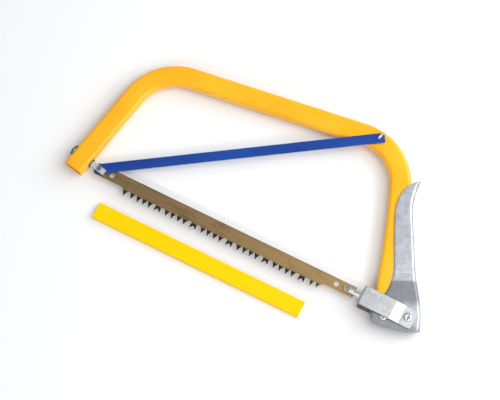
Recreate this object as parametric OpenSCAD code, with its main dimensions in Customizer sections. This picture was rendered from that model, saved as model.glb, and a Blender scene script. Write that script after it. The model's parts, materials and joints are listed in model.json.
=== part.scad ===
// Bow saw with a sprung tubular frame, a coarse bow blade, a hacksaw blade and an over-centre lever.
// It lies flat on its side: +Z is up and +X runs along the bow blade, from its front pin to the grip.
// Inside the modules the front blade pin is at the origin and z = 0 is the frame's middle plane.

/* [Frame tube] */
// Width of the tube, seen from the saw's side
tube_w = 23; // [20:0.5:24]
// Depth of the tube, across the saw
tube_d = 12; // [11:0.25:12]
// Thickness of the tube's wall
tube_wall = 1.3; // [1:0.1:2]
// Radius of the tube's long corners
tube_corner = 4.5; // [2:0.25:5]
// Length of the straight front leg
leg_run = 106.2; // [104:0.2:110]
// Centreline radius of the front bend
front_bend_r = 56; // [50:1:58]
// Length of the straight top run
top_run = 195.7; // [193:0.1:198]
// Centreline radius of the rear bend
rear_bend_r = 57; // [54:1:60]
// Length of the gently bowed grip
grip_run = 149; // [147:1:152]

/* [Blades] */
// Pin to pin length of the bow blade
bow_pins = 297.4; // [297:0.1:298]
// Pin to peg length of the hacksaw blade
hack_pins = 302.8; // [302:0.1:303.2]
// Height of the bow blade's plain ends
blade_h = 12.5; // [11:0.5:13]
// Thickness of the bow blade
blade_t = 0.9; // [0.7:0.1:1]
// Depth of the bow blade's tooth tips below the pins
tooth_tip = 14; // [12:0.5:15]
// Length of one group of teeth, from raker to raker
tooth_group = 43; // [42.6:0.1:43.2]
// Height of the hacksaw blade
hack_h = 11.2; // [10.6:0.1:12]
// Thickness of the hacksaw blade
hack_t = 0.65; // [0.5:0.05:0.7]

/* [Tension lever and strap] */
// Thickness of the lever's sheet
lever_t = 1.2; // [1:0.1:1.2]
// Thickness of the strap's sheet
strap_t = 1.4; // [1.2:0.1:1.4]
// Height of the strap
strap_h = 21.6; // [20:0.2:22.4]
// How far the strap steps in towards its rear rivet
strap_step = 1; // [0.8:0.1:1]

/* [Studs and pins] */
// Diameter of the front stud
front_stud_dia = 8; // [7.6:0.1:8.4]
// Diameter of the draw stud
draw_stud_dia = 6.6; // [6.2:0.1:6.8]
// Diameter of the two blade pins
pin_dia = 4; // [3.8:0.1:4]

/* [Blade guard] */
// Length of the guard
guard_len = 245.5; // [200:0.5:250]
// Height of the guard, from its back to its mouth
guard_h = 18.2; // [16:0.2:20]
// Thickness of the guard across its mouth
guard_t = 5; // [4.5:0.1:6]

/* [Hidden] */
$fn = 64;
fit = 0.05;            // radial clearance of a pin or rivet in its hole
gap = 0.2;             // clearance between flat faces that slide past each other

// Places of the pins and pivots, from the front blade pin
leg_lean = 78.6;       // direction of the front leg
stud_turn = leg_lean - 90;
leg_foot = [-25.2, -12.1];
front_turn = 70.8;     // how far each bend of the tube turns
rear_turn = 76.1;
grip_turn = 8;
draw_pin = [bow_pins, 0];
lever_pivot = [344.3, -11.3];
strap_pivot = [367.9, -1.3];
strap_run = norm(strap_pivot - draw_pin);     // from the rear blade pin to the strap's rivet
strap_turn = atan2(strap_pivot[1] - draw_pin[1], strap_pivot[0] - draw_pin[0]);
hack_slope = 32.75;    // direction of the hacksaw blade in the frame's plane
peg_at = hack_pins * [cos(hack_slope), sin(hack_slope)];

// Heights above the middle plane
tube_z = tube_d / 2;
plate_in = tube_z + gap;
plate_out = plate_in + lever_t;
arm_rear = plate_out + gap;
arm_front = arm_rear + strap_step;
strap_half = arm_front + strap_t;
slot_half = 1.2;       // half the slot that holds the blades in each stud
bow_z = -1;            // underside of the bow blade
hack_front_z = 0.25;   // underside of the hacksaw blade at each end
hack_rear_z = tube_z + 1.7;
hack_tilt = asin((hack_rear_z - hack_front_z) / hack_pins);

// The box of the whole saw, which is centred on the row's origin
box_x = [-36.47, 386];
box_y = [-49.5, 175];
row_shift = [-(box_x[0] + box_x[1]) / 2, -(box_y[0] + box_y[1]) / 2, strap_half];

// ---- shared outlines and shapes ----

module in_row() translate(row_shift) children();

// Puts the rear blade pin at the origin, with x along the strap
module on_draw_line() translate(draw_pin) rotate([0, 0, strap_turn]) children();

function arc(centre, r, a0, a1, n = 8) =
    [for (i = [0 : n]) centre + r * [cos(a0 + (a1 - a0) * i / n), sin(a0 + (a1 - a0) * i / n)]];

// A smooth curve through every point of a list
function through(p, n = 5) = [
    for (i = [0 : len(p) - 2], k = [0 : n - 1])
        let (t = k / n, a = p[max(i - 1, 0)], b = p[i], c = p[i + 1], d = p[min(i + 2, len(p) - 1)])
        0.5 * (2 * b + (c - a) * t + (2 * a - 5 * b + 4 * c - d) * t * t
               + (3 * b - a - 3 * c + d) * t * t * t),
    p[len(p) - 1]];

// The same curve moved sideways, to the right of its direction
function beside(c, dist) = [
    for (i = [0 : len(c) - 1])
        let (v = c[min(i + 1, len(c) - 1)] - c[max(i - 1, 0)])
        c[i] + dist * [v[1], -v[0]] / norm(v)];

function backwards(c) = [for (i = [len(c) - 1 : -1 : 0]) c[i]];

module both_sides() {
    children();
    mirror([0, 0, 1]) children();
}

// A low rounded rivet head that stands on z = 0
module button(r, h) {
    ball = (r * r + h * h) / (2 * h);
    intersection() {
        translate([0, 0, h - ball]) sphere(ball, $fn = 96);
        cylinder(r = r, h = h + 1);
    }
}

module washer(r, bore, h) {
    difference() {
        cylinder(r = r, h = h);
        translate([0, 0, -1]) cylinder(r = bore, h = h + 2);
    }
}

// A pin with a flat head that stands on the stud's upper face
module headed_pin(half) {
    translate([0, 0, -half - 0.5]) cylinder(d = pin_dia, h = 2 * half + 0.6);
    difference() {
        translate([0, 0, half + 0.05]) cylinder(d = pin_dia + 1.6, h = 0.8);
        translate([0, 0, half + 0.45]) cylinder(d = pin_dia - 1.6, h = 1);
    }
}

// ---- frame ----

// The tube is swept along stations [x, y, heading], listed run by run. A run is a straight length
// with radius 0, or a right-hand turn in degrees with its centreline radius.
grip_r = grip_run / grip_turn * 180 / PI;
tube_runs = [[leg_run, 0], [front_turn, front_bend_r], [top_run, 0],
             [rear_turn, rear_bend_r], [grip_turn, grip_r]];
bend_steps = 10;

function after(p, length, r) =
    r == 0 ? [p[0] + length * cos(p[2]), p[1] + length * sin(p[2]), p[2]]
           : [p[0] + r * (sin(p[2]) - sin(p[2] - length)),
              p[1] - r * (cos(p[2]) - cos(p[2] - length)), p[2] - length];

function stations(p, i = 0) =
    i == len(tube_runs) ? [p]
    : let (run = tube_runs[i], steps = run[1] == 0 ? 1 : run[1] > 500 ? 5 : bend_steps)
      concat([for (k = [0 : steps - 1]) after(p, run[0] * k / steps, run[1])],
             stations(after(p, run[0], run[1]), i + 1));

function tube_section(w, d, r) = concat(
    arc([w / 2 - r, d / 2 - r], r, 0, 90, 3), arc([r - w / 2, d / 2 - r], r, 90, 180, 3),
    arc([r - w / 2, r - d / 2], r, 180, 270, 3), arc([w / 2 - r, r - d / 2], r, 270, 360, 3));

module swept_tube() {
    at = stations([leg_foot[0], leg_foot[1], leg_lean]);
    walls = [tube_section(tube_w, tube_d, tube_corner),
             tube_section(tube_w - 2 * tube_wall, tube_d - 2 * tube_wall, tube_corner - tube_wall)];
    n = len(walls[0]);
    last = len(at) - 1;
    points = [for (p = at, wall = walls, s = wall)
        [p[0] - s[0] * sin(p[2]), p[1] + s[0] * cos(p[2]), s[1]]];
    // The point k of the outer (0) or inner (1) wall at station i
    function pt(i, wall, k) = (2 * i + wall) * n + k % n;
    faces = concat(
        [for (i = [0 : last - 1], k = [0 : n - 1])
            [pt(i, 0, k), pt(i, 0, k + 1), pt(i + 1, 0, k + 1), pt(i + 1, 0, k)]],
        [for (i = [0 : last - 1], k = [0 : n - 1])
            [pt(i, 1, k), pt(i + 1, 1, k), pt(i + 1, 1, k + 1), pt(i, 1, k + 1)]],
        [for (k = [0 : n - 1]) [pt(0, 0, k), pt(0, 1, k), pt(0, 1, k + 1), pt(0, 0, k + 1)]],
        [for (k = [0 : n - 1])
            [pt(last, 0, k), pt(last, 0, k + 1), pt(last, 1, k + 1), pt(last, 1, k)]]);
    polyhedron(points, faces, convexity = 6);
}

module frame_tube() color("#FFC02E") in_row() difference() {
    swept_tube();
    rotate([0, 0, stud_turn]) rotate([0, -90, 0]) rotate([0, 0, 11])   // seam clear of the flat sides
        cylinder(d = front_stud_dia + 2 * fit, h = 60);
    translate(lever_pivot) cylinder(r = 3 + fit, h = 40, center = true);
    translate(peg_at) cylinder(r = 1.4 + fit, h = 20);
}

leg_inner = 10.8;      // from the front pin back to the leg's two faces
leg_outer = leg_inner + tube_w;

// Puts a stud's own x axis on the front stud's line
module on_front_stud() rotate([0, 0, stud_turn]) children();

module front_stud() color("#B9BCC0") in_row() on_front_stud() difference() {
    union() {
        translate([-leg_outer - 1.9, 0, 0]) rotate([0, 90, 0])
            cylinder(d = front_stud_dia, h = leg_outer - 6.1);
        intersection() {
            translate([-9, 0, 0]) rotate([0, 90, 0]) cylinder(d = front_stud_dia, h = 16.8);
            translate([-9, -3.3, -3.6]) cube([16.8, 6.6, 7.2]);
        }
    }
    translate([-7.4, -10, -slot_half]) cube([20, 20, 2 * slot_half]);
    cylinder(d = pin_dia + 2 * fit, h = 20, center = true);
}

module front_stud_cap() color("#23262B") in_row() on_front_stud()
    translate([-leg_outer - 0.65, 0, 0]) rotate([0, -90, 0]) difference() {
        button(6.6, 2.4);
        translate([0, 0, -1]) cylinder(d = front_stud_dia + 2 * fit, h = 2.4);
    }

module front_outer_washer() color("#7C8086") in_row() on_front_stud()
    translate([-leg_outer - 0.1, 0, 0]) rotate([0, -90, 0]) washer(6, front_stud_dia / 2 + fit, 0.5);

module front_inner_washer() color("#3A3C40") in_row() on_front_stud()
    translate([-leg_inner + 1, 0, 0]) rotate([0, -90, 0]) washer(5.1, front_stud_dia / 2 + fit, 0.9);

module front_blade_pin() color("#8D9196") in_row() headed_pin(3.6);

// ---- bow blade ----

root_y = -8.7;         // where a tooth's flanks meet the gullets
gullet_y = -7.7;
blade_end = 306;       // the square rear end of the blade
raker_half = 3.1;      // from a raker's middle to either of its tips
tooth_half = 2.8;
first_raker = 76.5;
small_teeth = [0.245, 0.41, 0.585, 0.745];
near_ends = [36.4, 45.2, 52.9, 59.8, 66.7];   // teeth ahead of the first raker
far_ends = [259.5, 266.6];                    // and after the last one

function tooth(x, half = tooth_half, tip = tooth_tip) =
    [[x - half, root_y], [x, -tip], [x + half, root_y]];
function raker(x) =
    [[x - raker_half, root_y], [x - raker_half - 0.4, -tooth_tip], [x, -10.4],
     [x + raker_half + 0.4, -tooth_tip], [x + raker_half, root_y]];
// The rounded gullet between the last point of one tooth and the first of the next
function gullet(a, b) =
    [for (k = [1 : 5]) let (u = 180 * k / 6)
        [(a[0] + b[0]) / 2 - (b[0] - a[0]) / 2 * cos(u), root_y + (gullet_y - root_y) * sin(u)]];

teeth = concat(
    [for (x = near_ends) tooth(x)],
    [for (g = [0 : 4]) let (x0 = first_raker + g * tooth_group)
        each concat([raker(x0)], g < 4 ? [for (f = small_teeth) tooth(x0 + f * tooth_group)] : [])],
    [for (x = far_ends) tooth(x, 2, x > 260 ? tooth_tip - 1.5 : tooth_tip)]);

module bow_blade() color("#8A7148") in_row() translate([0, 0, bow_z]) linear_extrude(blade_t) difference() {
    h = blade_h / 2;
    edge = [for (i = [0 : len(teeth) - 1])
        each concat(teeth[i], i < len(teeth) - 1
                    ? gullet(teeth[i][len(teeth[i]) - 1], teeth[i + 1][0]) : [])];
    polygon(concat(
        arc([-1.8, h - 3], 3, 90, 180, 5), arc([-1.8, 3 - h], 3, 180, 270, 5),
        [[29, -h], [31.5, -h - 0.6]], edge, [[270.6, -h - 1], [274, -h]],
        [[blade_end, -h], [blade_end, h]]));
    for (x = [0, bow_pins]) translate([x, 0]) circle(d = pin_dia + 2 * fit);
    for (x = [15.9, bow_pins - 13.1]) translate([x, 0]) circle(d = 5.6);
}

// ---- hacksaw blade ----

module hacksaw_blade() color("#1F55AB") in_row()
    rotate([0, 0, hack_slope]) rotate([0, -hack_tilt, 0]) translate([0, 0, hack_front_z])
        linear_extrude(hack_t) difference() {
            union() {
                circle(d = hack_h);
                translate([0, -hack_h / 2]) square([hack_pins + 6.1, hack_h]);
            }
            circle(d = pin_dia + 0.6);
            translate([hack_pins, 0]) circle(d = pin_dia);
        }

module hacksaw_peg() color("#C9CCD0") in_row() translate([peg_at[0], peg_at[1], 0]) {
    bend_z = hack_rear_z + 2.2;
    translate([0, 0, tube_z - tube_wall + 0.05]) cylinder(r = 1.4, h = bend_z - tube_z + tube_wall);
    translate([0, 0, bend_z]) {
        sphere(1.55);
        rotate([0, 55, 68]) cylinder(r = 1.4, h = 8.5);
    }
}

// ---- lever ----

module lever_pivot_rivet() color("#B4B7BB") in_row() translate(lever_pivot) {
    cylinder(r = 3, h = 2 * plate_out, center = true);
    both_sides() translate([0, 0, plate_out + 0.05]) button(4.6, 0.95);
    both_sides() translate([0, 0, plate_out - 0.2]) cylinder(r = 3, h = 0.3);
}

module lever_pivot_sleeve() color("#909499") in_row() translate(lever_pivot) {
    half = tube_z - tube_wall - 0.1;
    translate([0, 0, -half]) washer(4.6, 3 + fit, 2 * half);
}

// Plan outline of the lever: its grip-side edge from the tip down, its lower edge and its back.
// The lower cheek ends a little short of the upper one, so its own lower edge is listed apart.
lever_front = [[309, 134.5], [304.7, 127], [302.8, 112], [309.5, 89], [319, 68.5], [329.4, 46.8],
               [334.6, 33], [336, 18], [334, 2]];
upper_heel = [[331, -13], [332.7, -18.5], [338.5, -22.4]];
upper_foot = [[351.5, -19.8], [362.5, -17.6], [373.6, -14.9], [383.6, -10], [386, -8]];
lower_heel = [[331.2, -9], [333, -14.3], [338.5, -18]];
lower_foot = [[362.5, -13.2], [373.6, -10.4], [383, -6], [385.4, -4.5]];
lever_back = [[385, -4], [376.5, 13], [368.5, 26], [356.5, 43.5], [345, 64.5], [333.5, 86],
              [325, 101.5], [319.5, 114], [316, 130], [315.6, 141]];

module tension_lever() color("#B7BABE") in_row() {
    back = through(lever_back);
    difference() {
        union() {
            translate([0, 0, plate_in]) linear_extrude(lever_t)
                polygon(concat(through(concat(lever_front, upper_heel)), upper_foot, back));
            translate([0, 0, -plate_out]) linear_extrude(lever_t)
                polygon(concat(through(concat(lever_front, lower_heel)), lower_foot, back));
            translate([0, 0, -plate_out]) linear_extrude(2 * plate_out)
                polygon(concat(back, backwards(beside(back, -lever_t))));
        }
        translate(lever_pivot) cylinder(r = 3 + fit, h = 40, center = true);
        translate(strap_pivot) cylinder(r = 2.5 + fit, h = 40, center = true);
    }
}

module strap_rivet_spacer() color("#909499") in_row() translate(strap_pivot)
    translate([0, 0, 0.1 - plate_in]) washer(4.6, 2.5 + fit, 2 * plate_in - 0.2);

// ---- strap ----

// Along the strap, from the rear blade pin
strap_front = 15.6;    // the strap's closed end
strap_rear = strap_run + 7.2;
step_start = strap_run - 17.4;
step_end = strap_run - 6.3;

module tension_strap() color("#C8CACC") in_row() on_draw_line() difference() {
    bend = 2.6;
    outer = concat(
        [[strap_rear, strap_half - strap_step], [step_end, strap_half - strap_step],
         [step_start, strap_half]],
        arc([strap_front + bend, strap_half - bend], bend, 90, 180, 5));
    inner = concat(
        arc([strap_front + bend, strap_half - bend], bend - strap_t, 180, 90, 5),
        [[step_start, arm_front], [step_end, arm_rear], [strap_rear, arm_rear]]);
    flipped_outer = [for (p = backwards(outer)) [p[0], -p[1]]];
    flipped_inner = [for (p = backwards(inner)) [p[0], -p[1]]];
    intersection() {
        rotate([90, 0, 0]) linear_extrude(strap_h, center = true)
            polygon(concat(outer, flipped_outer, flipped_inner, inner));
        linear_extrude(40, center = true) {
            corner = 1.2;
            translate([strap_front - 1, -strap_h / 2])
                square([strap_rear - strap_front + 1 - corner, strap_h]);
            translate([strap_rear - 2 * corner, corner - strap_h / 2])
                square([2 * corner, strap_h - 2 * corner]);
            for (y = [-1, 1]) translate([strap_rear - corner, y * (strap_h / 2 - corner)]) circle(corner);
        }
    }
    translate([strap_run, 0, 0]) cylinder(r = 2.5 + fit, h = 40, center = true);
    translate([strap_front, 0, 0]) rotate([0, 90, 0])
        cylinder(d = draw_stud_dia + 1, h = 6, center = true);
}

module strap_rivet() color("#AEB1B5") in_row() translate(strap_pivot) difference() {
    seat = strap_half - strap_step + 0.02;
    union() {
        cylinder(r = 2.5, h = 2 * seat + 0.2, center = true);
        both_sides() translate([0, 0, seat]) button(4.8, strap_step - 0.06);
    }
    both_sides() translate([0, 0, seat + 0.3]) cylinder(r = 1.6, h = 2);
}

// ---- draw stud ----

stud_nose = 4;         // how far the draw stud reaches ahead of the rear blade pin
stud_flat = 3;         // half the thickness over the flats by that pin
flats_end = 7;
// The slot is deep enough for the corners of the blade's square end to turn in it
slot_end = norm([blade_end - bow_pins, blade_h / 2]) + 0.3;
nut_at = 22.2;
nut_t = 3.2;

module draw_stud() color("#C4C7CA") in_row() on_draw_line() difference() {
    rotate([0, 90, 0]) {
        translate([0, 0, -stud_nose]) cylinder(d1 = draw_stud_dia - 1.6, d2 = draw_stud_dia, h = 1);
        translate([0, 0, 1 - stud_nose])
            cylinder(d = draw_stud_dia, h = stud_nose - 1 + nut_at + nut_t + 0.2);
    }
    both_sides() translate([-20, -10, stud_flat]) cube([20 + flats_end, 20, 5]);
    translate([-20, -10, -slot_half]) cube([20 + slot_end, 20, 2 * slot_half]);
    cylinder(d = pin_dia + 2 * fit, h = 20, center = true);
}

module draw_stud_nut() color("#A4A7AB") in_row() on_draw_line() translate([nut_at, 0, 0])
    rotate([0, 90, 0]) difference() {
        rotate([0, 0, 30]) cylinder(d = 11, h = nut_t, $fn = 6);
        translate([0, 0, -1]) cylinder(d = draw_stud_dia + 2 * fit, h = nut_t + 2);
    }

module draw_stud_washer() color("#909499") in_row() on_draw_line() translate([nut_at - 0.85, 0, 0])
    rotate([0, 90, 0]) washer(5.6, draw_stud_dia / 2 + fit, 0.8);

module draw_blade_pin() color("#8D9196") in_row() translate(draw_pin) headed_pin(stud_flat);

// ---- blade guard ----

module blade_guard() color("#FFDD00") in_row() translate([17.3, -49.5, -strap_half])
    rotate([90, 0, 90]) linear_extrude(guard_len) {
        wall = 1.4;
        lip = wall / 2;
        translate([lip, lip]) circle(lip);
        translate([lip, guard_t - lip]) circle(lip);
        translate([0, lip]) square([wall, guard_t - wall]);
        for (y = [0, guard_t - wall]) {
            translate([lip, y]) square([guard_h - wall, wall]);
            translate([guard_h - lip, y + lip]) circle(lip);
        }
    }

frame_tube();
front_stud();
front_stud_cap();
front_outer_washer();
front_inner_washer();
front_blade_pin();
bow_blade();
hacksaw_blade();
hacksaw_peg();
lever_pivot_rivet();
lever_pivot_sleeve();
tension_lever();
strap_rivet_spacer();
tension_strap();
strap_rivet();
draw_stud();
draw_stud_nut();
draw_stud_washer();
draw_blade_pin();
blade_guard();
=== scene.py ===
"""The looks of the bow saw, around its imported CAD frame: metres, +Z up, the saw lying on its side.

Sizes are in millimetres, measured from the front blade pin along the bow blade (x), towards the
top of the frame (y) and up from the frame's middle plane (z), as in the CAD source.
"""
import json
from itertools import cycle
from math import cos, hypot, pi, radians, sin

import bmesh
import bpy
from mathutils import Matrix, Vector


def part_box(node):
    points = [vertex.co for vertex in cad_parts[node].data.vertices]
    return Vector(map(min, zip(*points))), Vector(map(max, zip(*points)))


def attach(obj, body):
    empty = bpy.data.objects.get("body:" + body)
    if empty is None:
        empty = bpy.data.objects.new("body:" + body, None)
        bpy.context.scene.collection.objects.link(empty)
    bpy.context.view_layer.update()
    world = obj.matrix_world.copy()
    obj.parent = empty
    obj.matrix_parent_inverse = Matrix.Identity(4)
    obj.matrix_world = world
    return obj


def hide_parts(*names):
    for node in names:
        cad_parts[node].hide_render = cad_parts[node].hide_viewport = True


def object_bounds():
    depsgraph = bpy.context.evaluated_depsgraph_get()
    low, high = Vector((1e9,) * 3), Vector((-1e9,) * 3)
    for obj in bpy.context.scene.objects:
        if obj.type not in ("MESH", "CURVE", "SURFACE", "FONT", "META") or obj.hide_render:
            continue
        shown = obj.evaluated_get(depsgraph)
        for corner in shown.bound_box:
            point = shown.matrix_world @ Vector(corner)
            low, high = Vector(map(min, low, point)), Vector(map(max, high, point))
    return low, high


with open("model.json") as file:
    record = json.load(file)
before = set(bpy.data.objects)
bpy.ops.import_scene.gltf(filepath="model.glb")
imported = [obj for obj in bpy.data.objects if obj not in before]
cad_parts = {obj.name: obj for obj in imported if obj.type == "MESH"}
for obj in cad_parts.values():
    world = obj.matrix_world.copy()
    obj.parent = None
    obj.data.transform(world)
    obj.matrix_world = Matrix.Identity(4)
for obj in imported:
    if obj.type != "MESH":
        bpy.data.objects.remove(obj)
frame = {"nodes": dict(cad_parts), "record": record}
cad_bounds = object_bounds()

MM = 0.001

# ---- places, from the frame ----

# The front blade pin is found from the boxes of two CAD nodes
BLADE_TIP = -4.8         # the bow blade's rounded front end
BLADE_END = 306          # and its square rear end
BLADE_HALF = 6.25        # half the height of its plain ends
bow_low, bow_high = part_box("bow_blade")
strap_low, strap_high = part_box("tension_strap")
PIN = Vector((bow_low[0] - BLADE_TIP * MM, bow_high[1] - BLADE_HALF * MM,
              (strap_low[2] + strap_high[2]) / 2))
STRAP_HALF = (strap_high[2] - strap_low[2]) / 2 / MM
BOW_PINS, HACK_PINS = 297.4, 302.8
LEVER_PIVOT = (344.3, -11.3)
STRAP_PIVOT = (367.9, -1.3)
HACK_SLOPE = radians(32.75)
LEVER_LINE = radians(115)   # direction of the lever's length, from its pivot to its tip
RIPPLES_START = 40          # from the lever's pivot, along that line


def place(x, y, z=0.0):
    """A point given in millimetres from the front blade pin, in the row frame."""
    return PIN + Vector((x, y, z)) * MM


# ---- node materials ----

def linear(hex_colour):
    """An sRGB colour such as "FFC02E" as linear RGBA."""
    values = [int(hex_colour[i:i + 2], 16) / 255 for i in (0, 2, 4)]
    return tuple(v / 12.92 if v <= 0.04045 else ((v + 0.055) / 1.055) ** 2.4 for v in values) + (1.0,)


class Surface:
    """A Principled material whose patterns read the object's own coordinates, in millimetres."""

    def __init__(self, name, **uniform):
        self.material = bpy.data.materials.new(name)
        self.material.use_nodes = True
        self.tree = self.material.node_tree
        self.shader = self.tree.nodes["Principled BSDF"]
        for key, value in uniform.items():
            self.shader.inputs[key.replace("_", " ")].default_value = value
        coordinates = self.tree.nodes.new("ShaderNodeTexCoord").outputs["Object"]
        centred = self.vector("SUBTRACT", coordinates, tuple(PIN))
        self.mm = self.vector("SCALE", centred, scale=1 / MM)

    def node(self, kind, **settings):
        made = self.tree.nodes.new(kind)
        for key, value in settings.items():
            setattr(made, key, value)
        return made

    def feed(self, socket, value):
        if isinstance(value, bpy.types.NodeSocket):
            self.tree.links.new(value, socket)
        else:
            socket.default_value = value

    def vector(self, operation, a, b=None, scale=None):
        made = self.node("ShaderNodeVectorMath", operation=operation)
        self.feed(made.inputs[0], a)
        if b is not None:
            self.feed(made.inputs[1], b)
        if scale is not None:
            made.inputs["Scale"].default_value = scale
        return made.outputs["Value" if operation == "DOT_PRODUCT" else "Vector"]

    def math(self, operation, a, b=0.0, clamp=False):
        made = self.node("ShaderNodeMath", operation=operation, use_clamp=clamp)
        self.feed(made.inputs[0], a)
        self.feed(made.inputs[1], b)
        return made.outputs[0]

    def along(self, angle, origin=(0, 0)):
        """Distance in millimetres along a direction in the saw's plane, from a point in it."""
        direction = (cos(angle), sin(angle), 0)
        start = origin[0] * direction[0] + origin[1] * direction[1]
        return self.math("SUBTRACT", self.vector("DOT_PRODUCT", self.mm, direction), start)

    def noise(self, size, detail=3.0, rough=0.5, stretch=(1, 1, 1), turn=0.0, seed=0.0):
        """Noise whose grains are about size millimetres, stretched along the turned axes."""
        mapping = self.node("ShaderNodeMapping", vector_type="POINT")
        self.feed(mapping.inputs["Vector"], self.mm)
        mapping.inputs["Rotation"].default_value = (0, 0, -turn)
        mapping.inputs["Location"].default_value = (seed, seed * 2, seed * 3)
        squeezed = self.vector("DIVIDE", mapping.outputs[0], tuple(size * s for s in stretch))
        made = self.node("ShaderNodeTexNoise")
        self.feed(made.inputs["Vector"], squeezed)
        made.inputs["Scale"].default_value = 1.0
        made.inputs["Detail"].default_value = detail
        made.inputs["Roughness"].default_value = rough
        return made.outputs[0]

    def flakes(self, size):
        """A brightness from 0 to 1 for each flat cell about size millimetres wide."""
        cells = self.node("ShaderNodeTexVoronoi")
        self.feed(cells.inputs["Vector"], self.mm)
        cells.inputs["Scale"].default_value = 1 / size
        brightness = self.node("ShaderNodeRGBToBW")
        self.feed(brightness.inputs[0], cells.outputs["Color"])
        return brightness.outputs[0]

    def remap(self, value, low, high, to_low=0.0, to_high=1.0, smooth=False):
        made = self.node("ShaderNodeMapRange", interpolation_type="SMOOTHSTEP" if smooth else "LINEAR")
        self.feed(made.inputs["Value"], value)
        limits = {"From Min": low, "From Max": high, "To Min": to_low, "To Max": to_high}
        for key, number in limits.items():
            made.inputs[key].default_value = number
        return made.outputs[0]

    def mix(self, factor, a, b):
        made = self.node("ShaderNodeMix", data_type="RGBA")
        self.feed(made.inputs[0], factor)
        self.feed(made.inputs[6], a)
        self.feed(made.inputs[7], b)
        return made.outputs[2]

    def bump(self, height, distance, normal=None):
        """Bump of a height from 0 to 1 that stands distance millimetres."""
        made = self.node("ShaderNodeBump")
        made.inputs["Strength"].default_value = 1.0
        made.inputs["Distance"].default_value = distance * MM
        self.feed(made.inputs["Height"], height)
        if normal is not None:
            self.feed(made.inputs["Normal"], normal)
        return made.outputs[0]

    def finish(self, colour, roughness, normal, metallic=None):
        self.feed(self.shader.inputs["Base Color"], colour)
        self.feed(self.shader.inputs["Roughness"], roughness)
        self.feed(self.shader.inputs["Normal"], normal)
        if metallic is not None:
            self.feed(self.shader.inputs["Metallic"], metallic)
        return self.material


def frame_paint():
    """Glossy orange-yellow enamel with a faint orange peel, soft scuffs and a few bare chips."""
    s = Surface("frame_paint", Coat_Weight=0.6, Coat_Roughness=0.035, Specular_IOR_Level=0.2)
    clouds = s.noise(60, 2)
    colour = s.mix(s.remap(clouds, 0.35, 0.65), linear("FFB108"), linear("FFBE1C"))
    scuffs = s.noise(2.2, 4, 0.6, (9, 1, 1), radians(20), seed=4)
    scuffed = s.remap(scuffs, 0.63, 0.74)
    colour = s.mix(s.math("MULTIPLY", scuffed, 0.3), colour, linear("FFD77A"))
    spots = s.noise(3.4, 4, 0.55, seed=11)
    sparse = s.remap(s.noise(45, 1, seed=7), 0.55, 0.62)
    chipped = s.math("MULTIPLY", s.remap(spots, 0.715, 0.73), sparse)
    colour = s.mix(chipped, colour, linear("7A6A58"))
    roughness = s.remap(s.noise(14, 3, seed=2), 0.3, 0.7, 0.24, 0.36)
    roughness = s.math("ADD", roughness, s.math("MULTIPLY", scuffed, 0.18))
    peel = s.bump(s.noise(1.6, 2), 0.018)
    return s.finish(colour, roughness, s.bump(chipped, -0.06, peel))


def blade_bronze():
    """Tempered blade steel: lengthwise grain, lighter towards the rear, near-black hardened teeth, and
    painted shade along the back edge.
    """
    s = Surface("blade_bronze")
    y = s.along(pi / 2)
    base = s.mix(s.remap(s.along(0), 0, 300), linear("604832"), linear("98794A"))
    grain = s.noise(0.35, 3, 0.65, (120, 1, 1))
    colour = s.mix(s.remap(grain, 0.3, 0.72, 0.0, 0.6), base, linear("C6A878"))
    stains = s.noise(9, 4, 0.6, (2.5, 1, 1), seed=5)
    colour = s.mix(s.remap(stains, 0.5, 0.72, 0.0, 0.5), colour, linear("5A4630"))
    wander = s.remap(s.noise(2.5, 3, seed=8), 0.2, 0.8, -0.6, 0.6)
    depth = s.math("ADD", y, wander)
    tint = s.remap(depth, -7.4, -8.8, smooth=True)
    colour = s.mix(s.math("MULTIPLY", tint, 0.6), colour, linear("4A3A40"))
    hard = s.remap(depth, -8.2, -9.2, smooth=True)
    colour = s.mix(hard, colour, linear("1B1A1D"))
    # painted shade: a dark line along the blade's back edge stands in for that edge in shadow
    back_edge_shade = s.remap(y, 5.3, 6.1)
    colour = s.mix(s.math("MULTIPLY", back_edge_shade, 0.7), colour, linear("4A4034"))
    roughness = s.remap(s.noise(5, 3, seed=3), 0.3, 0.7, 0.34, 0.48)
    roughness = s.math("ADD", roughness, s.math("MULTIPLY", hard, 0.08))
    lines = s.bump(grain, 0.012)
    return s.finish(colour, roughness, lines, s.remap(hard, 0, 1, 0.75, 0.55))


def blade_blue():
    """Blue enamelled hacksaw blade with fine lengthwise scratches and worn teeth."""
    s = Surface("blade_blue", Coat_Weight=0.08, Coat_Roughness=0.15, Specular_IOR_Level=0.3)
    across = s.along(HACK_SLOPE + pi / 2)
    clouds = s.noise(30, 3, 0.5, (3, 1, 1), HACK_SLOPE)
    base = s.mix(s.remap(clouds, 0.35, 0.65), linear("083789"), linear("10469C"))
    scratches = s.noise(0.4, 3, 0.6, (90, 1, 1), HACK_SLOPE, seed=6)
    colour = s.mix(s.remap(scratches, 0.66, 0.8, 0.0, 0.3), base, linear("5F84C4"))
    nicks = s.noise(1.3, 4, 0.6, seed=9)
    edge = s.remap(s.math("ABSOLUTE", across), 4.7, 5.3)
    worn = s.math("MULTIPLY", s.remap(nicks, 0.56, 0.62), edge)
    colour = s.mix(worn, colour, linear("9AA2AC"))
    roughness = s.remap(s.noise(6, 3, seed=1), 0.3, 0.7, 0.3, 0.44)
    return s.finish(colour, roughness, s.bump(scratches, 0.01), s.math("MULTIPLY", worn, 0.9))


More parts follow.
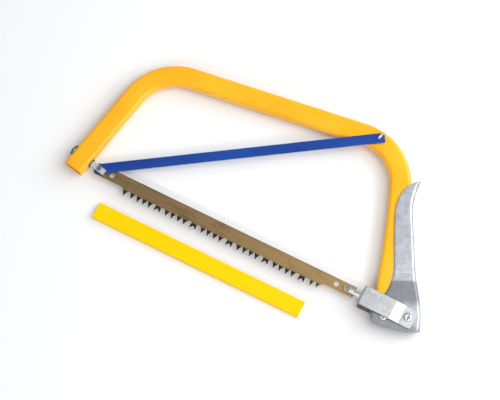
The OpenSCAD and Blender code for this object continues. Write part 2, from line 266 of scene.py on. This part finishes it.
def zinc_sheet(name, dark, light, grain_turn, roughness_range, shaded=None, spangle=0.25):
    """Galvanised sheet: faint spangle, a fine grain along one direction, smudges and scratches."""
    s = Surface(name, Metallic=0.75)
    grain = s.noise(0.3, 3, 0.65, (60, 1, 1), grain_turn)
    colour = s.mix(s.remap(grain, 0.3, 0.7), linear(dark), linear(light))
    colour = s.mix(s.remap(s.flakes(4.2), 0.2, 0.8, 0.0, spangle), colour, linear("E4E7EA"))
    smudge = s.remap(s.noise(16, 4, 0.55, seed=3), 0.45, 0.7)
    colour = s.mix(s.math("MULTIPLY", smudge, 0.25), colour, linear("8C9096"))
    scratches = s.noise(0.5, 3, 0.6, (70, 1, 1), grain_turn + radians(38), seed=12)
    colour = s.mix(s.remap(scratches, 0.68, 0.76, 0.0, 0.5), colour, linear("F0F2F4"))
    roughness = s.remap(s.noise(7, 4, seed=5), 0.3, 0.7, *roughness_range)
    height = s.math("ADD", grain, s.math("MULTIPLY", s.noise(1.1, 3, seed=8), 0.8))
    if shaded is not None:
        pressed_shade_mask, pits = shaded(s)
        # painted shade: the patch's mask darkens the sheet, while its pits are real marks
        colour = s.mix(s.math("MULTIPLY", pressed_shade_mask, 0.72), colour, linear("6E7278"))
        speckled = s.math("MULTIPLY", pressed_shade_mask, pits)
        colour = s.mix(s.math("MULTIPLY", speckled, 0.5), colour, linear("4E5257"))
        height = s.math("SUBTRACT", height, s.math("MULTIPLY", speckled, 1.5))
    return s.finish(colour, roughness, s.bump(height, 0.02))


def pressed_zone_and_shade(s):
    """The rough patch that pressing leaves below the lever's ripples, painted darker there as painted
    shade, and its pits; the mask also paints shade on the lever's foot under the strap.
    """
    ragged = s.remap(s.noise(3, 3, seed=15), 0.2, 0.8, -0.8, 0.8)
    up_lever = s.math("ADD", s.along(LEVER_LINE, LEVER_PIVOT), ragged)
    upper = s.remap(up_lever, RIPPLES_START - 1.6, RIPPLES_START - 0.4, 1.0, 0.0)
    lower = s.remap(up_lever, 8, 20, 0.0, 1.0, smooth=True)
    # painted shade: darker towards the foot, where the strap shades the lever
    below = s.remap(s.along(pi / 2), -4, -9, 0.0, 0.85, smooth=True)
    pressed_shade_mask = s.math("ADD", s.math("MULTIPLY", upper, lower), below, clamp=True)
    return pressed_shade_mask, s.remap(s.noise(0.7, 4, 0.7, seed=16), 0.45, 0.65)


def plated_steel(name, dark, light, roughness_range, metallic=0.95, grain=(1, 1, 1)):
    """Small plated hardware: mottled plating, tool marks and rubbed spots."""
    s = Surface(name, Metallic=metallic)
    mottle = s.noise(1.8, 4, 0.6, grain)
    colour = s.mix(s.remap(mottle, 0.3, 0.7), linear(dark), linear(light))
    rubbed = s.remap(s.noise(0.8, 4, 0.6, seed=6), 0.6, 0.7)
    colour = s.mix(s.math("MULTIPLY", rubbed, 0.4), colour, linear("E8EAEC"))
    roughness = s.remap(s.noise(2.5, 3, seed=2), 0.3, 0.7, *roughness_range)
    return s.finish(colour, roughness, s.bump(s.noise(0.45, 3, 0.6, seed=4), 0.008))


def dark_finish(name, base, worn, roughness_range):
    """Blackened steel with paler rubbed spots."""
    s = Surface(name, Metallic=0.2, Specular_IOR_Level=0.3)
    rubbed = s.remap(s.noise(1.6, 4, 0.6, seed=3), 0.58, 0.75)
    colour = s.mix(s.math("MULTIPLY", rubbed, 0.5), linear(base), linear(worn))
    roughness = s.remap(s.noise(2, 3), 0.3, 0.7, *roughness_range)
    return s.finish(colour, roughness, s.bump(s.noise(0.8, 3, seed=5), 0.02))


def guard_pvc():
    """Lemon-yellow extruded plastic with fine die lines, faint scuffs and dusty marks."""
    s = Surface("guard_pvc", Subsurface_Weight=0.08, Subsurface_Scale=0.002, Specular_IOR_Level=0.1)
    lines = s.noise(0.55, 2, 0.5, (300, 1, 1))
    clouds = s.noise(40, 2, 0.5, (3, 1, 1))
    base = s.mix(s.remap(clouds, 0.35, 0.65), linear("FFCE00"), linear("FFD300"))
    scuffs = s.remap(s.noise(1.5, 4, 0.6, (6, 1, 1), radians(12), seed=9), 0.62, 0.75)
    colour = s.mix(s.math("MULTIPLY", scuffs, 0.3), base, linear("FFF08A"))
    dust = s.remap(s.noise(5, 4, 0.6, seed=2), 0.62, 0.8)
    colour = s.mix(s.math("MULTIPLY", dust, 0.25), colour, linear("D8B400"))
    roughness = s.remap(s.noise(9, 3, seed=4), 0.3, 0.7, 0.3, 0.45)
    roughness = s.math("ADD", roughness, s.math("MULTIPLY", scuffs, 0.12))
    return s.finish(colour, roughness, s.bump(lines, 0.015))


FINISHES = {
    "frame_paint": frame_paint(),
    "blade_bronze": blade_bronze(),
    "blade_blue": blade_blue(),
    "lever_zinc": zinc_sheet("lever_zinc", "96999F", "B9BCC2", LEVER_LINE, (0.3, 0.42), pressed_zone_and_shade),
    "strap_zinc": zinc_sheet("strap_zinc", "A9ABAE", "C2C4C6", 0.0, (0.22, 0.32), spangle=0.15),
    "stud_steel": plated_steel("stud_steel", "CBCCCE", "E8E8E9", (0.3, 0.45), metallic=0.7),
    "draw_steel": plated_steel("draw_steel", "C8CACD", "E8E9EB", (0.14, 0.24), grain=(6, 1, 1)),
    "peg_steel": plated_steel("peg_steel", "CDD0D5", "F0F1F3", (0.12, 0.24)),
    "pin_steel": plated_steel("pin_steel", "54575B", "B4B6BA", (0.15, 0.3)),
    "rivet_steel": plated_steel("rivet_steel", "A6AAB0", "D4D7DB", (0.22, 0.38)),
    "sleeve_steel": plated_steel("sleeve_steel", "70747A", "9A9EA4", (0.35, 0.5)),
    "washer_steel": plated_steel("washer_steel", "7C8086", "A8ACB2", (0.3, 0.45)),
    "washer_dark": dark_finish("washer_dark", "26282B", "6A6E74", (0.35, 0.5)),
    "cap_black": dark_finish("cap_black", "08090B", "1C1F23", (0.5, 0.65)),
    "guard_pvc": guard_pvc(),
}

# ---- mesh helpers ----

SLOT_OF = {row["node"]: row["material_slot"] for row in frame["record"]["subparts"]}
BODY_OF = {node: body for body, nodes in frame["record"]["behaviour"]["bodies"].items()
           for node in nodes}
WELD_GAP = 1e-6          # points nearer than this, in metres, are one point


def curve_point(keys, t):
    """The point at t, from 0 to len(keys) - 1, on a smooth curve through every key."""
    i = min(int(t), len(keys) - 2)
    u = t - i
    a, b, c, d = (keys[max(0, min(k, len(keys) - 1))] for k in (i - 1, i, i + 1, i + 2))
    return [0.5 * (2 * q + (r - p) * u + (2 * p - 5 * q + 4 * r - s) * u * u
                   + (3 * q - p - 3 * r + s) * u ** 3)
            for p, q, r, s in zip(a, b, c, d)]


def finished_piece(name, work, nodes, sharp):
    """Turns a bmesh into a piece that replaces CAD nodes and takes their body and slot."""
    bmesh.ops.recalc_face_normals(work, faces=work.faces)
    mesh = bpy.data.meshes.new(name)
    work.to_mesh(mesh)
    work.free()
    mesh.shade_smooth()
    mesh.set_sharp_from_angle(angle=radians(sharp))
    made = bpy.data.objects.new(name, mesh)
    bpy.context.scene.collection.objects.link(made)
    made.data.materials.append(FINISHES[SLOT_OF[nodes[0]]])
    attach(made, BODY_OF[nodes[0]])
    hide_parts(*nodes)
    return made


def piece(name, points, faces, nodes, sharp=35):
    """A piece from points in millimetres and faces."""
    work = bmesh.new()
    corners = [work.verts.new(place(*p)) for p in points]
    for face in faces:
        work.faces.new([corners[i] for i in face])
    bmesh.ops.remove_doubles(work, verts=work.verts, dist=WELD_GAP)
    return finished_piece(name, work, nodes, sharp)


def rings(loops, closed=True):
    """Quads between loops of equal length, laid end to end."""
    n = len(loops[0])
    return [(i * n + k, i * n + (k + 1) % n, (i + 1) * n + (k + 1) % n, (i + 1) * n + k)
            for i in range(len(loops) - 1) for k in range(n if closed else n - 1)]


def round_edges(made, width, angle):
    """Rounds the edges that turn by more than an angle in degrees."""
    bevel = made.modifiers.new("edge", "BEVEL")
    bevel.width = width * MM
    bevel.segments = 2
    bevel.limit_method = "ANGLE"
    bevel.angle_limit = radians(angle)


def soften(cad_node, width):
    """Rounds a CAD node's sharp edges with modifiers, so that its own mesh stays as it is."""
    weld = cad_node.modifiers.new("weld", "WELD")
    weld.merge_threshold = WELD_GAP
    flat = cad_node.modifiers.new("flat", "DECIMATE")
    flat.decimate_type = "DISSOLVE"
    flat.angle_limit = radians(0.5)
    round_edges(cad_node, width, 32)
    cad_node.modifiers.new("normals", "WEIGHTED_NORMAL").keep_sharp = True


# ---- frame tube ----

TUBE_W, TUBE_D, TUBE_WALL, TUBE_CORNER = 23, 12, 1.3, 4.5
GRIP_TURN, GRIP_RUN = 8, 149
LEG_FOOT, LEG_LEAN = (-25.2, -12.1), radians(78.6)
TUBE_RUNS = [  # length of a straight run, or degrees of a right-hand bend; its radius; its steps
    (106.2, 0, 14), (70.8, 56, 40), (195.7, 0, 14), (76.1, 57, 40),
    (GRIP_TURN, GRIP_RUN / radians(GRIP_TURN), 24)]
TUBE_LIP = 0.3           # how far the cut ends are rounded


def further(station, length, radius):
    """The place and heading after a straight length, or after a bend in degrees."""
    x, y, heading = station
    if radius == 0:
        return x + length * cos(heading), y + length * sin(heading), heading
    turned = heading - radians(length)
    return (x + radius * (sin(heading) - sin(turned)), y - radius * (cos(heading) - cos(turned)),
            turned)


def tube_stations():
    """Places and headings along the tube's centreline, from the front leg's foot."""
    station = (*LEG_FOOT, LEG_LEAN)
    found = []
    for length, radius, steps in TUBE_RUNS:
        found += [further(station, length * k / steps, radius) for k in range(steps)]
        station = further(station, length, radius)
    return found + [station]


def rounded_section(width, depth, corner, steps=8):
    """Points round a rounded rectangle, as (across, up) in millimetres."""
    points = []
    for k, (sx, sy) in enumerate(((1, 1), (-1, 1), (-1, -1), (1, -1))):
        for i in range(steps + 1):
            angle = pi / 2 * (k + i / steps)
            points.append((sx * (width / 2 - corner) + corner * cos(angle),
                           sy * (depth / 2 - corner) + corner * sin(angle)))
    return points


def build_frame_tube():
    """The bent tube, with its inner wall and rounded lips at both cut ends."""
    def ring(station, shrink, forward=0.0):
        x, y, heading = station
        x, y = x + forward * cos(heading), y + forward * sin(heading)
        corner = max(TUBE_CORNER - shrink, 1)
        return [(x - across * sin(heading), y + across * cos(heading), up)
                for across, up in rounded_section(TUBE_W - 2 * shrink, TUBE_D - 2 * shrink, corner)]

    foot, *between, end = tube_stations()
    lip, mid_lip = TUBE_LIP, 0.3 * TUBE_LIP
    outer = [ring(foot, lip), ring(foot, mid_lip, mid_lip), ring(foot, 0, lip)]
    outer += [ring(station, 0) for station in between]
    outer += [ring(end, 0, -lip), ring(end, mid_lip, -mid_lip), ring(end, lip)]
    inner = [ring(end, TUBE_WALL - lip), ring(end, TUBE_WALL, -lip)]
    inner += [ring(station, TUBE_WALL) for station in reversed(between)]
    inner += [ring(foot, TUBE_WALL, lip), ring(foot, TUBE_WALL - lip)]
    loops = outer + inner + [outer[0]]
    piece("frame_tube_bent", [p for loop in loops for p in loop], rings(loops), ["frame_tube"])


# ---- bow blade ----

BOW_LOW, BOW_T = -1.0, 0.9
TOOTH_TIP = 14
ROOT_Y, GULLET_Y = -8.7, -7.7
TOOTH_HALF, END_TOOTH_HALF = 2.8, 2
TOOTH_GROUP = 43         # from raker to raker
FIRST_RAKER, RAKERS = 76.5, 5
RAKER_NOTCH = -10.9
SMALL_TEETH = (0.245, 0.41, 0.585, 0.745)       # as parts of a group
NEAR_ENDS = (36.4, 45.2, 52.9, 59.8, 66.7)      # teeth ahead of the first raker
FAR_ENDS = (259.5, 266.6)                       # and after the last one
TOOTH_SET = 0.32         # how far a tip leans out of the blade's plane
TOOTH_BEVEL = 0.75       # how far a filed flank slopes in
HOLE_STEPS = 32


def cutter(x, lean, half=TOOTH_HALF, tip=TOOTH_TIP):
    """A pointed tooth that leans to one side and is filed on one face."""
    shoulder = (ROOT_Y - tip) / 2 - 0.2
    points = [(x - half, ROOT_Y, 0.0), (x - half * 0.45, shoulder, 0.8), (x - 0.12, -tip, 1.0),
              (x + 0.12, -tip, -1.0), (x + half * 0.45, shoulder, -0.8), (x + half, ROOT_Y, 0.0)]
    return points, lean


def raker(x):
    """A flat tooth with two points and a notch between them."""
    side = [(3.1, ROOT_Y), (3.5, 0.1 - TOOTH_TIP), (2.9, -TOOTH_TIP), (0.8, RAKER_NOTCH - 0.4)]
    points = [(x - out, y, 0.0) for out, y in side] + [(x, RAKER_NOTCH, 0.0)]
    return points + [(x + out, y, 0.0) for out, y in reversed(side)], 0


def saw_teeth():
    """Each tooth as (points, lean): points are (x, y, bevel), and cutters lean to alternate sides."""
    lean = cycle((-1, 1))
    teeth = [cutter(x, next(lean)) for x in NEAR_ENDS]
    for group in range(RAKERS):
        start = FIRST_RAKER + group * TOOTH_GROUP
        teeth.append(raker(start))
        if group < RAKERS - 1:
            teeth += [cutter(start + part * TOOTH_GROUP, next(lean)) for part in SMALL_TEETH]
    for k, x in enumerate(FAR_ENDS):
        teeth.append(cutter(x, next(lean), END_TOOTH_HALF, TOOTH_TIP - 1.5 * k))
    return teeth


def bow_outline():
    """Points round the blade as (x, y, bevel, lean)."""
    h, r = BLADE_HALF, 3
    points = [(BLADE_TIP + r + r * cos(a), centre_y + r * sin(a), 0, 0)
              for centre_y, start in ((h - r, 90), (r - h, 180))
              for a in (radians(start + 15 * k) for k in range(7))]
    points += [(29, -h, 0, 0), (31.5, -h - 0.6, 0, 0)]
    teeth = saw_teeth()
    for i, (tooth, lean) in enumerate(teeth):
        points += [(x, y, bevel, lean) for x, y, bevel in tooth]
        if i < len(teeth) - 1:
            a, b = tooth[-1][0], teeth[i + 1][0][0][0]
            for angle in (pi * k / 9 for k in range(1, 9)):
                points.append(((a + b) / 2 - (b - a) / 2 * cos(angle),
                               ROOT_Y + (GULLET_Y - ROOT_Y) * sin(angle), 0, 0))
    return points + [(270.6, -h - 1, 0, 0), (274, -h, 0, 0), (BLADE_END, -h, 0, 0), (BLADE_END, h, 0, 0)]


def plate(name, outline, holes, low, thickness, nodes, lift=lambda x, y: 0.0):
    """A blade from an outline of (x, y, bevel, lean) and round holes of (x, y, r)."""
    loops = [outline]
    for cx, cy, r in holes:
        loops.append([(cx + r * cos(a), cy + r * sin(a), 0, 0)
                      for a in (2 * pi * k / HOLE_STEPS for k in range(HOLE_STEPS))])
    work = bmesh.new()
    rims = []
    for upper in (False, True):
        edges = []
        for loop in loops:
            made = []
            for x, y, bevel, lean in loop:
                filed = upper == (lean > 0)
                inward = TOOTH_BEVEL * bevel if filed else 0.0
                down_tooth = max(0.0, min(1.0, (ROOT_Y - y) / (TOOTH_TIP + ROOT_Y)))
                z = low + (thickness if upper else 0) + lean * TOOTH_SET * down_tooth + lift(x, y)
                made.append(work.verts.new(place(x + inward, y, z)))
            edges += [work.edges.new((made[i], made[(i + 1) % len(made)])) for i in range(len(made))]
            rims.append(made)
        bmesh.ops.triangle_fill(work, use_beauty=True, use_dissolve=False, edges=edges)
    half = len(loops)
    for lower_rim, upper_rim in zip(rims[:half], rims[half:]):
        n = len(lower_rim)
        for i in range(n):
            j = (i + 1) % n
            work.faces.new((lower_rim[i], lower_rim[j], upper_rim[j], upper_rim[i]))
    finished_piece(name, work, nodes, 25)


def build_bow_blade():
    """The bow blade, with its two pin holes and the two larger holes beside them."""
    holes = [(0, 0, 2.05), (BOW_PINS, 0, 2.05), (15.9, 0, 2.8), (BOW_PINS - 13.1, 0, 2.8)]
    plate("bow_blade_toothed", bow_outline(), holes, BOW_LOW, BOW_T, ["bow_blade"])


# ---- hacksaw blade ----

HACK_H, HACK_T = 11.2, 0.65
HACK_FRONT_Z, HACK_REAR_Z = 0.25, 7.7
HACK_END = HACK_PINS + 6.1
TEETH_START, TOOTH_COUNT, TOOTH_PITCH, TOOTH_DEPTH = 12.0, 262, 1.06, 0.55
WAVE, WAVE_LENGTH, WAVE_END = 0.12, 8, 290      # how the toothed edge waves from side to side


def build_hacksaw_blade():
    """The fine-toothed blade, whose cutting edge faces the bow blade and waves from side to side."""
    h = HACK_H / 2
    local = [(h * cos(a), h * sin(a)) for a in (radians(90 + 15 * k) for k in range(12))]
    local.append((TEETH_START - 1, -h))
    for x in (TEETH_START + k * TOOTH_PITCH for k in range(TOOTH_COUNT)):
        local += [(x, -h + TOOTH_DEPTH), (x + 0.2, -h), (x + 0.42, -h)]
    local += [(TEETH_START + TOOTH_COUNT * TOOTH_PITCH, -h), (HACK_END - 1, -h), (HACK_END, 1 - h),
              (HACK_END, h - 1), (HACK_END - 1, h)]
    rise = (HACK_REAR_Z - HACK_FRONT_Z) / HACK_PINS
    c, s = cos(HACK_SLOPE), sin(HACK_SLOPE)

    def lift(x, y):
        along, across = x * c + y * s, y * c - x * s
        toothed = across < -h + 0.3 and TEETH_START < along < WAVE_END
        return along * rise + (WAVE * sin(along * 2 * pi / WAVE_LENGTH) if toothed else 0.0)

    outline = [(x * c - y * s, x * s + y * c, 0, 0) for x, y in local]
    holes = [(0, 0, 2.3), (HACK_PINS * c, HACK_PINS * s, 2.0)]
    plate("hacksaw_blade_toothed", outline, holes, HACK_FRONT_Z, HACK_T, ["hacksaw_blade"], lift)


# ---- tension lever ----

LEVER_HALF, LEVER_T, LEVER_ROUND = 7.4, 1.2, 3.8
LEVER_STATIONS = [  # grip-side edge, then the back, from the tip down
    (309.0, 134.5, 315.6, 141.0), (304.7, 127, 316.0, 131), (302.8, 113, 318.6, 117),
    (305.2, 100, 323, 105.5), (309.5, 89, 330, 92.5), (319, 68.5, 340.3, 73.3),
    (329.4, 46.8, 351, 53.4), (334.6, 33, 356.5, 43.5), (336, 18, 368.3, 26),
    (334, 2, 376.3, 13), (330.8, -12, 381.6, 2.5), (332.7, -18.5, 385.8, -9)]
LEVER_ROWS = 132         # rows of points from tip to foot
FOOT_START = 10          # from this station on, rows sag and the lower cheek is trimmed
FOOT_SAG = 4.9           # how far the foot's edge bulges below a straight line
LOWER_CHEEK_TRIM = 3.3   # how much shorter the lower cheek is at its foot
RIPPLES, RIPPLE_RUN, RIPPLE_DEPTH = 3, 8.4, 0.16
JOGGLE_DEPTH = 0.3       # how far the cheeks step in below the ripples


def ramp(value, start, run):
    """Rises from 0 to 1 over a run that begins at start."""
    return min(1.0, max(0.0, (value - start) / run))


def lever_section(front, back, sag, dip, trim):
    """Points across the lever, from its front edge over the rounded back to the other front edge."""
    width = hypot(back[0] - front[0], back[1] - front[1])
    round_r = min(LEVER_ROUND, width * 0.45)
    samples = [(u * (width - round_r), LEVER_HALF - dip) for u in (k / 12 for k in range(13))]
    samples += [(width - round_r + round_r * sin(a), LEVER_HALF - dip - round_r * (1 - cos(a)))
                for a in (radians(9 * k) for k in range(1, 11))]
    samples += [(reach, -z) for reach, z in reversed(samples)]
    points = []
    for reach, z in samples:
        u = reach / width
        droop = sag * (1 - abs(2 * u - 1) ** (14 if u < 0.5 else 3))
        raised = trim * (LEVER_HALF - z) / (2 * LEVER_HALF) - droop
        points.append((front[0] + (back[0] - front[0]) * u,
                       front[1] + (back[1] - front[1]) * u + raised, z))
    return points


def build_lever():
    """The channel of sheet, with ripples and a joggle across its cheeks."""
    loops = []
    for i in range(LEVER_ROWS + 1):
        t = (len(LEVER_STATIONS) - 1) * i / LEVER_ROWS
        fx, fy, bx, by = curve_point(LEVER_STATIONS, t)
        foot = max(0.0, t - FOOT_START)
        up_lever = (fx - LEVER_PIVOT[0]) * cos(LEVER_LINE) + (fy - LEVER_PIVOT[1]) * sin(LEVER_LINE)
        rippled = (up_lever - RIPPLES_START) / RIPPLE_RUN
        ripple = RIPPLE_DEPTH * (1 - cos(rippled * RIPPLES * 2 * pi)) if 0 < rippled < 1 else 0.0
        joggle = (1 - ramp(up_lever, RIPPLES_START - 2, 2)) * ramp(up_lever, 2, 12)
        loops.append(lever_section((fx, fy), (bx, by), FOOT_SAG * foot ** 1.5,
                                   ripple + JOGGLE_DEPTH * joggle, LOWER_CHEEK_TRIM * foot))
    made = piece("lever_channel", [p for loop in loops for p in loop], rings(loops, closed=False),
                 ["tension_lever"], sharp=60)
    shell = made.modifiers.new("sheet", "SOLIDIFY")
    shell.thickness = LEVER_T * MM
    shell.offset = -1.0
    shell.use_even_offset = True
    round_edges(made, 0.28, 60)


# ---- rivets ----

RIVET_STEPS = 48
STRAP_STEP = 1.0         # how far the strap steps in towards its rivet


def star_rivet(name, node, centre, shank_r, head_r, seat, head_h, recess):
    """A rivet through the sheet, with domed heads and a punched cross in each."""
    profile = [(shank_r, 0.0), (shank_r, seat), (head_r * 0.93, seat), (head_r, seat + 0.12 * head_h)]
    profile += [(head_r * cos(a), seat + head_h * (0.25 + 0.75 * sin(a)))
                for a in (radians(15 * k) for k in range(1, 6))]
    profile += [(head_r * f, seat + head_h) for f in (0.55, 0.46, 0.38, 0.3, 0.22, 0.12, 0.04)]
    loops = []
    for r, z in profile:
        into_cross = max(0.0, min(1.0, (head_r * 0.5 - r) / (head_r * 0.1)))
        loop = []
        for angle in (2 * pi * k / RIVET_STEPS for k in range(RIVET_STEPS)):
            arm = abs(cos(2 * angle)) ** 3
            depth = recess * (0.45 + 0.55 * arm) * into_cross
            loop.append((centre[0] + r * cos(angle), centre[1] + r * sin(angle), z - depth))
        loops.append(loop)
    half = [p for loop in loops for p in loop]
    size = len(half)
    faces = rings(loops) + [tuple(range(size - RIVET_STEPS, size))]
    faces += [tuple(size + i for i in reversed(face)) for face in faces]
    piece(name, half + [(x, y, -z) for x, y, z in half], faces, [node], sharp=50)


# ---- build the pieces ----

build_frame_tube()
build_bow_blade()
build_hacksaw_blade()
build_lever()
star_rivet("strap_rivet_head", "strap_rivet", STRAP_PIVOT, shank_r=2.5, head_r=4.8,
           seat=STRAP_HALF - STRAP_STEP, head_h=0.95, recess=0.75)
star_rivet("lever_rivet_head", "lever_pivot_rivet", LEVER_PIVOT, shank_r=3.0, head_r=4.6,
           seat=LEVER_HALF + 0.05, head_h=0.95, recess=0.6)

EDGE_WIDTHS = {  # how far each CAD node's sharp edges are rounded
    "front_stud": 0.3, "front_stud_cap": 0.2, "front_outer_washer": 0.15, "front_inner_washer": 0.15,
    "front_blade_pin": 0.15, "draw_blade_pin": 0.15, "draw_stud": 0.35, "draw_stud_nut": 0.3,
    "draw_stud_washer": 0.15, "tension_strap": 0.3, "hacksaw_peg": 0.25, "lever_pivot_sleeve": 0.1,
    "strap_rivet_spacer": 0.1, "blade_guard": 0.12}
for node_name, edge in EDGE_WIDTHS.items():
    cad_node = frame["nodes"][node_name]
    cad_node.data.materials.clear()
    cad_node.data.materials.append(FINISHES[SLOT_OF[node_name]])
    soften(cad_node, edge)

# ---- floor, light and camera ----

FLOOR_HALF = 3.0
floor_z = cad_bounds[0][2]
floor_mesh = bpy.data.meshes.new("floor")
floor_mesh.from_pydata([(x, y, floor_z) for x, y in ((-FLOOR_HALF, -FLOOR_HALF), (FLOOR_HALF, -FLOOR_HALF),
                                                     (FLOOR_HALF, FLOOR_HALF), (-FLOOR_HALF, FLOOR_HALF))],
                       [], [(0, 1, 2, 3)])
floor = bpy.data.objects.new("floor", floor_mesh)
bpy.context.scene.collection.objects.link(floor)
paper = bpy.data.materials.new("pale_floor")
paper.use_nodes = True
paper_shader = paper.node_tree.nodes["Principled BSDF"]
paper_shader.inputs["Base Color"].default_value = (0.93, 0.93, 0.93, 1)
paper_shader.inputs["Roughness"].default_value = 0.9
floor_mesh.materials.append(paper)


def softbox(name, place_at, size, power, target=(0, 0, 0)):
    """A soft light of a size in metres and a power in watts, aimed at a target."""
    light = bpy.data.lights.new(name, "AREA")
    light.shape = "RECTANGLE"
    light.size, light.size_y = size
    light.energy = power
    made = bpy.data.objects.new(name, light)
    made.location = place_at
    made.rotation_euler = (Vector(target) - Vector(place_at)).to_track_quat("-Z", "Y").to_euler()
    bpy.context.scene.collection.objects.link(made)


softbox("right", (0.85, 0.3, 1.75), (1.3, 1.5), 17, (0.1, 0, 0))
softbox("rear_right", (0.83, 0.92, 0.66), (1.1, 0.7), 9, (0.1, 0, 0))
# The strips draw the thin bright lines on the tube and along the lever's back
softbox("strip_right", (1.35, 0.12, 1.05), (1.6, 0.2), 5)
softbox("strip_front", (0.1, -1.5, 1.45), (1.8, 0.1), 8)

world = bpy.data.worlds.new("studio")
world.use_nodes = True
background = world.node_tree.nodes["Background"]
background.inputs["Color"].default_value = (0.96, 0.98, 1.0, 1)
background.inputs["Strength"].default_value = 0.45
bpy.context.scene.world = world
bpy.context.scene.view_settings.view_transform = "Standard"

AZIMUTH, ELEVATION, ROLL = radians(28.88), radians(73.0), radians(-2.14)
AIM = (160.6, 41.85)     # what the camera looks at, in millimetres from the front blade pin
DISTANCE = 2.6
FOCAL, SENSOR = 174.9, 36
back = Vector((sin(AZIMUTH) * cos(ELEVATION), -cos(AZIMUTH) * cos(ELEVATION), sin(ELEVATION)))
level = Vector((cos(AZIMUTH), sin(AZIMUTH), 0))
upward = back.cross(level)
right = cos(ROLL) * level + sin(ROLL) * upward
up = cos(ROLL) * upward - sin(ROLL) * level
camera_data = bpy.data.cameras.new("camera")
camera_data.lens = FOCAL
camera_data.sensor_width = SENSOR
camera = bpy.data.objects.new("camera", camera_data)
turn = Matrix((right, up, back)).transposed().to_4x4()
camera.matrix_world = Matrix.Translation(place(*AIM) + DISTANCE * back) @ turn
bpy.context.scene.collection.objects.link(camera)
bpy.context.scene.camera = camera

bpy.context.view_layer.update()
